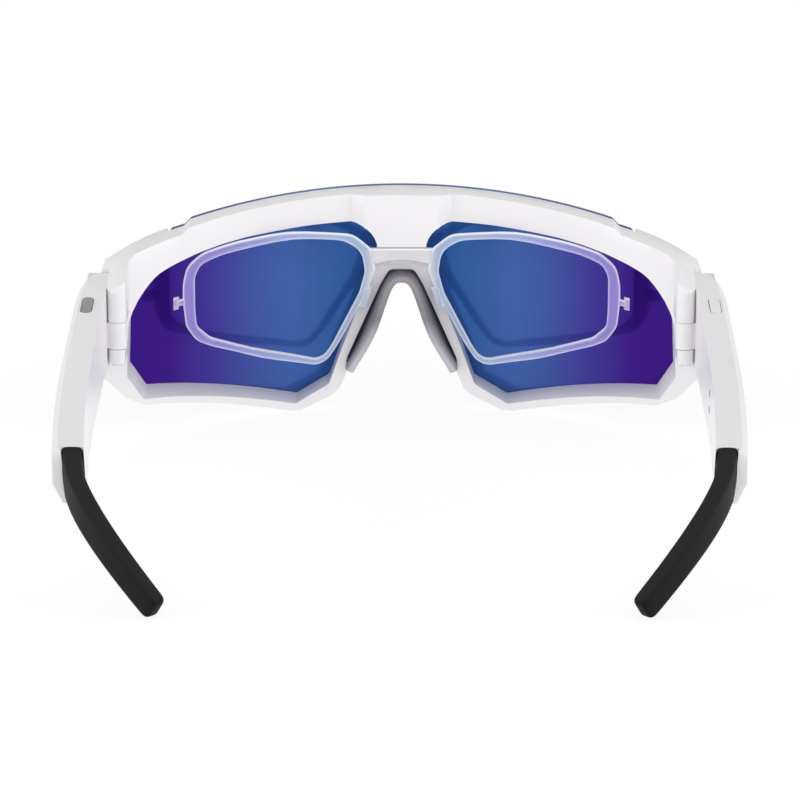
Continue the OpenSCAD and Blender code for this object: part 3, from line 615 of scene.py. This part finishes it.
def clear_insert():
    """The clear rim that takes prescription lenses, clipped behind the shield."""
    outer = rounded(INSERT_OUTER)
    inner = rounded(INSERT_INNER)
    bm = bmesh.new()

    def bar(sections, side, closed):
        rings = [[on_insert(side * p.x, p.y, depth) for p, depth in ring] for ring in sections]
        skin(bm, rings, closed)

    for side in (-1, 1):
        angles = [2 * math.pi * k / INSERT_STEPS for k in range(INSERT_STEPS)]
        hits = [[ray_hit(line, INSERT_MIDDLE, a) for line in (inner, outer)] for a in angles]
        bar([round_bar(a, b, 0.8, 0.7) for a, b in hits], side, True)
        for half, radius, *ends in INSERT_TABS:
            bar([round_bar(Vector(a), Vector(b), half, radius) for a, b in ends], side, False)
    bridge = []
    for x in [k * 0.46 for k in range(-16, 17)]:
        low = 35.8 + 1.2 * (1 - x * x / 64)
        bridge.append(round_bar(Vector((x, low)), Vector((x, 39.8)), 0.8, 0.45))
    bar(bridge, 1, False)
    block(bm, (-3, -INSERT_BACK, 36.2), (3, 1.6, 38.2))
    mesh = to_mesh(bm, "insert")
    link_piece("insert", mesh, "front", ["prescription_rim"], CLEAR)
    mesh.set_sharp_from_angle(angle=math.radians(40))


BOX_FACES = ((0, 2, 3, 1), (4, 5, 7, 6), (0, 1, 5, 4), (2, 6, 7, 3), (0, 4, 6, 2), (1, 3, 7, 5))


def block(bm, low, high):
    """A box between two corners in millimetres, added to a mesh."""
    corners = [
        bm.verts.new(place(x, y, z))
        for z in (low[2], high[2]) for y in (low[1], high[1]) for x in (low[0], high[0])
    ]
    for face in BOX_FACES:
        bm.faces.new([corners[k] for k in face])


def tube_mesh(name, rings):
    """Capped skin over rings of points, all with the same count."""
    bm = bmesh.new()
    skin(bm, rings, False)
    return to_mesh(bm, name)


def add_subdivision(piece):
    smooth = piece.modifiers.new("smooth", "SUBSURF")
    smooth.levels = 2
    smooth.render_levels = 2


# The pad's edge in the notch, its rear edge and how deep it reaches there, from arch to foot
PAD_SEAT = [
    (0, 33.65), (1.6, 33.65), (2.75, 33.25), (3.7, 32.1), (4.8, 30.4), (5.8, 28.2), (7.2, 25.2),
    (8.5, 22.2), (9.9, 19.2), (11.3, 16.2), (12.45, 13.6), (13.1, 11.9), (13, 10.9),
]
PAD_REAR = [
    (0, 33.6), (1.5, 33.5), (3.05, 32.6), (4.2, 30.8), (5, 28.9), (5.75, 26.9), (6.65, 24.1),
    (7.65, 21.1), (9.05, 18.1), (10.65, 15.2), (12.15, 12.9), (13.4, 10.9), (13.8, 9.8),
]
PAD_DEPTH = [4, 4.1, 4.4, 5.2, 6.2, 7.2, 7.8, 7.95, 7.95, 7.9, 7.7, 7.4, 6.8]


def nose_saddle():
    """Soft saddle of one piece: a bent wall with a thick round rear edge."""
    base = 33 * math.sin(RIM_TILT)
    last = len(PAD_SEAT) - 1

    def normal(k):
        if k == 0:
            return Vector((0, -1))
        a = Vector(PAD_REAR[k - 1])
        b = Vector(PAD_REAR[min(k + 1, last)])
        d = unit(b - a)
        return Vector((d.y, -d.x))

    def tilted(u, v, y):
        y += base
        turn_c, turn_s = math.cos(RIM_TILT), math.sin(RIM_TILT)
        return place(u, y * turn_c - v * turn_s, y * turn_s + v * turn_c)

    rings = []
    for side in (-1, 1):
        order = range(last, 0, -1) if side < 0 else range(last + 1)
        for k in order:
            seat, rear = Vector(PAD_SEAT[k]), Vector(PAD_REAR[k])
            inward = normal(k)
            deep = PAD_DEPTH[k]
            wall = 1.9 + 0.5 * share_of(k, 9, 12)
            ring = [(seat, 3.9), (seat, 0.4)]
            for part, share in ((0.3, 0.5), (0.62, 0.85), (0.84, 1)):
                ring.append((seat.lerp(rear, share), -deep * part))
            ring += [
                (rear + inward * 0.22, -deep * 0.97),
                (rear + inward * wall * 0.5, -deep),
                (rear + inward * (wall - 0.22), -deep * 0.97),
                (rear + inward * wall, -deep * 0.84),
                (rear + inward * wall, -deep * 0.5),
                (rear + inward * wall, 0.4),
                (rear + inward * wall, 3.9),
            ]
            rings.append([tilted(side * p.x, p.y, y) for p, y in ring])
    mesh = tube_mesh("saddle", rings)
    piece = link_piece("saddle", mesh, "front", ["nose_pad"], PAD)
    add_subdivision(piece)


# How far the temple's outer face is drawn in behind its front end, and where its rear part bends
FRONT_STATIONS = [
    (0, 3.2), (0.8, 1.95), (2, 1.3), (3.7, 0.85), (7.7, 0.35), (11, 0.15), (17, 0), (30, 0),
]
BEND_Y = -76.02
BEND_L = 48.5
BEND_IN = 2.1
LOW_SLOPE = math.radians(4.4)
TEMPLE_LOW = 20.3


def top_z(y):
    """Height of a temple's top at y."""
    return TEMPLE_TOP + (y - HINGE_Y) * math.tan(TOP_SLOPE)


def low_z(y):
    """Height of a temple's lower edge at y."""
    return TEMPLE_LOW + (y - HINGE_Y) * math.tan(LOW_SLOPE)


def bent(y):
    """How far the rear part of a temple has bent inwards at y."""
    return BEND_IN * max(0, (BEND_Y - y) / BEND_L) ** 2


def drawn_in(y):
    """Smooth curve through the front stations."""
    s = min(-TEMPLE_START - y, FRONT_STATIONS[-1][0])
    points = FRONT_STATIONS
    k = max(k for k in range(len(points) - 1) if points[k][0] <= s + 1e-9)

    def slope(j):
        i0, i1 = max(j - 1, 0), min(j + 1, len(points) - 1)
        return (points[i1][1] - points[i0][1]) / (points[i1][0] - points[i0][0])

    (s0, d0), (s1, d1) = points[k], points[k + 1]
    t = (s - s0) / (s1 - s0)
    span = s1 - s0
    smooth = (
        d0 * (1 + 2 * t) * (1 - t) ** 2 + slope(k) * span * t * (1 - t) ** 2
        + d1 * t * t * (3 - 2 * t) - slope(k + 1) * span * t * t * (1 - t)
    )
    return max(0, smooth)


def temple_section(y):
    """Corners of a temple's cross-section, from the inner top edge outwards and round.

    The inner face leans in towards the rear and covers the leaf's seat near the hinge, and the
    outer chamfers grow over the last 12 mm.
    """
    chamfer = 1.25
    lean = share_of(y, -40, -105)
    seat = 0.27 * share_of(y, -46, -41)
    tail = share_of(y, -112, -TEMPLE_END) ** 2
    inner = TEMPLE_X - bent(y) - seat
    outer = TEMPLE_X + TEMPLE_W - drawn_in(y) - bent(y)
    top, low = top_z(y), low_z(y) + 1.1 * tail
    return [
        (inner - 0.25 * lean, top), (outer - chamfer, top), (outer, top - chamfer),
        (outer, low + chamfer + 3.2 * tail), (outer - chamfer - 0.9 * tail, low),
        (inner - 0.5 * lean, low),
    ]


def pill_prism(bm, centre, tilt, half_w, half_l, low, high):
    """An upright pill-shaped prism, leant by the tilt, added to a cutter."""
    ring = []
    for k in range(32):
        angle = 2 * math.pi * (k + 0.5) / 32
        along = math.sin(angle) * half_w + math.copysign(half_l - half_w, math.sin(angle))
        ring.append((math.cos(angle) * half_w, along))
    skin(bm, [
        [(
            centre[0] + u,
            centre[1] + w * math.cos(tilt) - height * math.sin(tilt),
            centre[2] + w * math.sin(tilt) + height * math.cos(tilt),
        ) for u, w in ring]
        for height in (low, high)
    ], False)


def bored(bm, y, z, radius, x0, x1):
    """A round bore across a temple, added to a cutter."""
    angles = [2 * math.pi * k / 24 for k in range(24)]
    skin(bm, [
        [(x, y + radius * math.cos(a), z + radius * math.sin(a)) for a in angles]
        for x in (x0, x1)
    ], False)


BUTTON_Y = HINGE_Y - 10.3
BUTTON_HALF = (1.35, 4.45)
SPEAKER_Y = -104.02
GRILLE_HALF = 5.1
CONTACT_Y = -81.52
CONTACT_R = 0.95
CONTACT_STEP = 1.9


def temple_cutter(side):
    """What is cut out of a temple: button slot, grille slot and contact bores."""
    bm = bmesh.new()
    slot = (TEMPLE_X + TEMPLE_W / 2 + 0.1, BUTTON_Y, top_z(BUTTON_Y))
    pill_prism(bm, slot, TOP_SLOPE, *BUTTON_HALF, -2.2, 2)
    corners = [
        bm.verts.new((
            TEMPLE_X + x,
            SPEAKER_Y + y * math.cos(LOW_SLOPE) - z * math.sin(LOW_SLOPE),
            low_z(SPEAKER_Y) + y * math.sin(LOW_SLOPE) + z * math.cos(LOW_SLOPE),
        ))
        for z in (-1, 1.2) for y in (-GRILLE_HALF, GRILLE_HALF) for x in (1.1, 3.9)
    ]
    for face in BOX_FACES:
        bm.faces.new([corners[k] for k in face])
    if side > 0:
        for step in (-CONTACT_STEP, CONTACT_STEP):
            middle = (top_z(CONTACT_Y) + low_z(CONTACT_Y)) / 2 + step
            bored(bm, CONTACT_Y, middle, CONTACT_R, TEMPLE_X - 2, TEMPLE_X + 1.1)
    for vert in bm.verts:
        vert.co = place(side * vert.co.x, vert.co.y, vert.co.z)
    return to_mesh(bm, "cutter")


def temple(name, side):
    """White temple: smooth rings along its length, with a notch for the ear tip at its end."""
    end = -TEMPLE_END
    notch_start = end + NOTCH_L
    steps = (
        0, 0.25, 0.5, 0.8, 1.15, 1.55, 2, 2.5, 3.1, 3.7, 4.6,
        6, 7.6, 9.4, 11.4, 13.6, 16, 18.4, 20.7,
    )
    stations = [-TEMPLE_START - s for s in steps]
    stations += [-TEMPLE_START - 20.7 - k * 3 for k in range(1, 9)]
    stations += [BEND_Y - 1 - k * 1.8 for k in range(0, 20)]
    stations += [-112.4 - k * 0.9 for k in range(0, 12)] + [notch_start]
    left = TIP_X - 0.05
    right = TIP_X + TIP_SIZES[0] + 0.05
    bottom = low_z(end) + 1.5
    bm = bmesh.new()

    def ring(y):
        corners = temple_section(y)
        notch = [corners[0][0] + x - temple_section(notch_start)[0][0] for x in (left, right)]
        outline = [corners[0], (notch[0], corners[0][1]), (notch[1], corners[0][1])] + corners[1:]
        return [bm.verts.new(place(side * x, y, z)) for x, z in outline]

    rings = [ring(y) for y in stations]
    count = len(rings[0])
    for a, b in zip(rings, rings[1:]):
        for k in range(count):
            bm.faces.new((a[k], a[(k + 1) % count], b[(k + 1) % count], b[k]))
    bm.faces.new(list(reversed(rings[0])))
    last = rings[-1]
    rear = ring(end)
    low_left, low_right, end_left, end_right = [
        bm.verts.new(place(side * x, y, bottom))
        for y in (notch_start, end) for x in (left - TIP_LEAN, right - 1.1)
    ]
    bm.faces.new((last[1], last[2], low_right, low_left))
    for k in [*range(2, count), 0]:
        bm.faces.new((last[k], last[(k + 1) % count], rear[(k + 1) % count], rear[k]))
    bm.faces.new((last[1], low_left, end_left, rear[1]))
    bm.faces.new((low_left, low_right, end_right, end_left))
    bm.faces.new((low_right, last[2], rear[2], end_right))
    bm.faces.new((rear[0], rear[1], end_left, rear[7]))
    bm.faces.new((rear[7], end_left, end_right, rear[6]))
    bm.faces.new((end_right, rear[2], rear[3], rear[4], rear[5], rear[6]))
    piece = bpy.data.objects.new("temple_shell_" + name, to_mesh(bm, "temple_shell_" + name))
    cutter = bpy.data.objects.new("cutter_" + name, temple_cutter(side))
    for made in (piece, cutter):
        bpy.context.scene.collection.objects.link(made)
    cut = piece.modifiers.new("cut", "BOOLEAN")
    cut.operation = "DIFFERENCE"
    cut.object = cutter
    evaluated = piece.evaluated_get(bpy.context.evaluated_depsgraph_get())
    result = bpy.data.meshes.new_from_object(evaluated)
    bpy.data.objects.remove(piece)
    bpy.data.objects.remove(cutter)
    piece = link_piece(
        "shell_" + name, result, "temple_" + name,
        ["temple_housing_" + name, "temple_cover_" + name], WHITE)
    add_bevel(piece, 0.25, 25)


def hinge_leaf(name, side):
    """Moving knuckle with its neck, a fine gap away from the fixed knuckles."""
    low, high = 24.5, 30.8
    radius = 2.2
    angles = [2 * math.pi * k / 64 for k in range(64)]
    bm = bmesh.new()
    skin(bm, [
        [place(side * (HINGE_X + radius * math.cos(a)), HINGE_Y + radius * math.sin(a), z)
         for a in angles]
        for z in (low, high)
    ], False)
    x0, x1 = sorted((side * (HINGE_X + 1), side * (TEMPLE_X + 1)))
    block(bm, (x0, HINGE_Y - 1.2, low + 0.05), (x1, HINGE_Y + 1.2, high - 0.05))
    piece = link_piece(
        "leaf_" + name, to_mesh(bm, "leaf_" + name), "temple_" + name,
        ["hinge_leaf_" + name], WHITE)
    add_bevel(piece, 0.15, 40)


# Ear tips: reach to the rear and inwards, the inner side at the front end, by how much the
# lower edge of that side lies further in, and the length of the notch that each tip leaves from.
# The sizes are the widths at the front and rear end, then the heights there. The waist is the
# width and height that a tip would have at its front end without the swelling there.
TIP_REACH = 31
TIP_IN = 18.3
TIP_X = 66
TIP_LEAN = 0.65
NOTCH_L = 1.5
TIP_SIZES = (4.7, 3.4, 12.2, 5.7)
TIP_WAIST = (3.75, 8.9)


def tip_size(u):
    """Width and height of an ear tip at the share u of its length."""
    ends = (TIP_SIZES[:2], TIP_SIZES[2:])
    u = min(u, 1)
    start = (1 - min(u / 0.25, 1)) ** 2
    return [
        waist + (rear - waist) * u + (front - waist) * start
        for waist, (front, rear) in zip(TIP_WAIST, ends)
    ]


def ear_tip(name, side):
    """Rubber tip that curves down and inwards, with a flat top and soft ridges."""
    y0 = -TEMPLE_END + NOTCH_L
    x0 = TIP_X + TIP_SIZES[0] / 2
    z0 = top_z(y0) - TIP_SIZES[2] / 2 + 0.1
    foot = TIP_SIZES[3] / 2 * 0.86

    def point(u):
        bend = u * abs(u)
        return Vector((
            x0 - TIP_IN * (0.1 * u + 0.9 * bend),
            y0 - TIP_REACH * u,
            z0 - (z0 - foot) * (0.2 * u + 0.8 * bend),
        ))

    corners = [
        (-1, 0.55), (-0.97, 0.9), (-0.75, 0.99), (0, 1), (0.75, 0.99), (0.97, 0.9),
        (1, 0.55), (1, 0), (1, -0.55), (0.9, -0.84), (0.6, -0.98), (0, -1),
        (-0.6, -0.98), (-0.9, -0.84), (-1, -0.55), (-1, 0),
    ]
    scales = {1.012: 0.96, 1.022: 0.84, 1.028: 0.6}
    stations = [0, 0.003, 0.01, 0.02, 0.05, 0.12] + [0.12 + 0.88 * k / 18 for k in range(1, 19)]
    rings = []
    for u in stations + list(scales):
        p = point(u)
        if u <= 0.05:
            across, up = Vector((1, 0, 0)), Vector((0, 0, 1))
        else:
            along = unit(point(u + 0.01) - point(u - 0.01))
            across = unit(Vector((0, 0, 1)).cross(along))
            if across.x < 0:
                across = -across
            up = unit(across.cross(along))
            if up.z < 0:
                up = -up
        width, height = [size / 2 * scales.get(u, 1) for size in tip_size(u)]
        lean = TIP_LEAN * max(0, 1 - u / 0.4)
        ring = []
        for a, b in corners:
            q = p + across * (a * width) + up * (b * height)
            if a < 0:
                q.x -= lean * (1 - b) / 2
            elif b < 0:
                q.x += 0.9 * b * a * max(0, 1 - u / 0.15)
            q.z = max(q.z, 0.0)
            ring.append(place(side * q.x, q.y, q.z))
        rings.append(ring)
    mesh = tube_mesh("tip_" + name, rings)
    piece = link_piece(
        "tip_" + name, mesh, "temple_" + name, ["ear_tip_" + name], RUBBER)
    add_subdivision(piece)


def dress_nodes():
    """Gives each CAD node its finish and softens its edges with modifiers."""
    slots = {row["node"]: row["material_slot"] for row in frame["record"]["subparts"]}
    for name, node in frame["nodes"].items():
        node.data.materials.clear()
        node.data.materials.append(FINISHES[slots[name]])
        weld = node.modifiers.new("weld", "WELD")
        weld.merge_threshold = 1e-6
        flat = node.modifiers.new("flat", "DECIMATE")
        flat.decimate_type = "DISSOLVE"
        flat.angle_limit = math.radians(0.5)
        add_bevel(node, 0.3, 25)
        for polygon in node.data.polygons:
            polygon.use_smooth = True


# Stage


def make_stage():
    """A pale floor that looks white to the camera and still takes a faint shadow."""
    half = 3
    floor_mesh = bpy.data.meshes.new("floor")
    floor_mesh.from_pydata(
        [(-half, -half, 0), (half, -half, 0), (half, half, 0), (-half, half, 0)], [], [(0, 1, 2, 3)]
    )
    floor = bpy.data.objects.new("floor", floor_mesh)
    bpy.context.scene.collection.objects.link(floor)
    material, tree, shader = new_material("floor")
    shader.inputs["Base Color"].default_value = (0.9, 0.9, 0.9, 1)
    shader.inputs["Roughness"].default_value = 0.9
    shader.inputs["Specular IOR Level"].default_value = 0.0
    rays = add_node(tree, "ShaderNodeLightPath")
    either = add_node(tree, "ShaderNodeMath", operation="MAXIMUM")
    tree.links.new(rays.outputs["Is Camera Ray"], either.inputs[0])
    tree.links.new(rays.outputs["Is Transmission Ray"], either.inputs[1])
    glow = add_node(tree, "ShaderNodeEmission", {"Color": (1, 1, 1, 1), "Strength": 1.06})
    part = add_node(tree, "ShaderNodeMath", operation="MULTIPLY_ADD")
    part.inputs[1].default_value = 0.05
    part.inputs[2].default_value = 0.75
    tree.links.new(either.outputs[0], part.inputs[0])
    mix = add_node(tree, "ShaderNodeMixShader")
    tree.links.new(part.outputs[0], mix.inputs["Fac"])
    tree.links.new(shader.outputs[0], mix.inputs[1])
    tree.links.new(glow.outputs[0], mix.inputs[2])
    tree.links.new(mix.outputs[0], tree.nodes["Material Output"].inputs["Surface"])
    floor_mesh.materials.append(material)


def make_world():
    """Even studio light, a little stronger from behind the glasses and from above."""
    world = bpy.data.worlds.new("studio")
    world.use_nodes = True
    tree = world.node_tree
    light = tree.nodes["Background"]
    light.inputs["Color"].default_value = (1, 1, 1, 1)
    direction = add_node(tree, "ShaderNodeTexCoord")
    lean = add_node(tree, "ShaderNodeVectorMath", operation="DOT_PRODUCT")
    lean.inputs[1].default_value = (0, -0.16, 0.06)
    tree.links.new(direction.outputs["Generated"], lean.inputs[0])
    level = add_node(tree, "ShaderNodeMath", operation="ADD")
    level.inputs[1].default_value = 0.735
    tree.links.new(lean.outputs["Value"], level.inputs[0])
    at_least = add_node(tree, "ShaderNodeMath", operation="MAXIMUM")
    at_least.inputs[1].default_value = 0.2
    tree.links.new(level.outputs[0], at_least.inputs[0])
    tree.links.new(at_least.outputs[0], light.inputs["Strength"])
    white = add_node(tree, "ShaderNodeBackground", {"Color": (1, 1, 1, 1), "Strength": 1.0})
    rays = add_node(tree, "ShaderNodeLightPath")
    mix = add_node(tree, "ShaderNodeMixShader")
    seen = add_node(tree, "ShaderNodeMath", operation="MAXIMUM")
    tree.links.new(rays.outputs["Is Camera Ray"], seen.inputs[0])
    tree.links.new(rays.outputs["Is Transmission Ray"], seen.inputs[1])
    tree.links.new(seen.outputs[0], mix.inputs["Fac"])
    tree.links.new(light.outputs[0], mix.inputs[1])
    tree.links.new(white.outputs[0], mix.inputs[2])
    tree.links.new(mix.outputs[0], tree.nodes["World Output"].inputs["Surface"])
    bpy.context.scene.world = world


def area_lamp(name, location, size, power):
    """A round lamp that faces the middle of the glasses."""
    data = bpy.data.lights.new(name, "AREA")
    data.shape = "DISK"
    data.size = size
    data.energy = power
    lamp = bpy.data.objects.new(name, data)
    bpy.context.scene.collection.objects.link(lamp)
    lamp.location = location
    towards = Vector((0, 0, 0.02)) - Vector(location)
    lamp.rotation_euler = towards.to_track_quat("-Z", "Y").to_euler()


def make_camera():
    """The photograph's camera: behind the glasses and 16 degrees above them."""
    distance = 900
    elevation = math.radians(16)
    yaw = 0.0039
    image_width = 800
    focal_pixels = 3690
    aim = place(-0.43, 5.15, 0)
    back = unit(Vector((yaw, -math.cos(elevation), math.sin(elevation))))
    data = bpy.data.cameras.new("camera")
    data.sensor_width = 36
    data.lens = data.sensor_width * focal_pixels / image_width
    camera = bpy.data.objects.new("camera", data)
    bpy.context.scene.collection.objects.link(camera)
    camera.location = aim + back * distance * MM
    camera.rotation_euler = (-back).to_track_quat("-Z", "Y").to_euler()
    data.clip_start = 0.01
    data.clip_end = 20
    bpy.context.scene.camera = camera


smooth_lens()
clear_insert()
nose_saddle()
for name, side in SIDES.items():
    temple(name, side)
    hinge_leaf(name, side)
    ear_tip(name, side)
dress_nodes()
make_stage()
make_world()
area_lamp("key", (0.2, -1.2, 0.9), 0.9, 1.5)
area_lamp("left_fill", (-1.4, -0.4, 0.2), 0.8, 7)
area_lamp("right_fill", (1.4, -0.4, 0.2), 0.8, 7)
make_camera()
bpy.context.scene.view_settings.view_transform = "Standard"
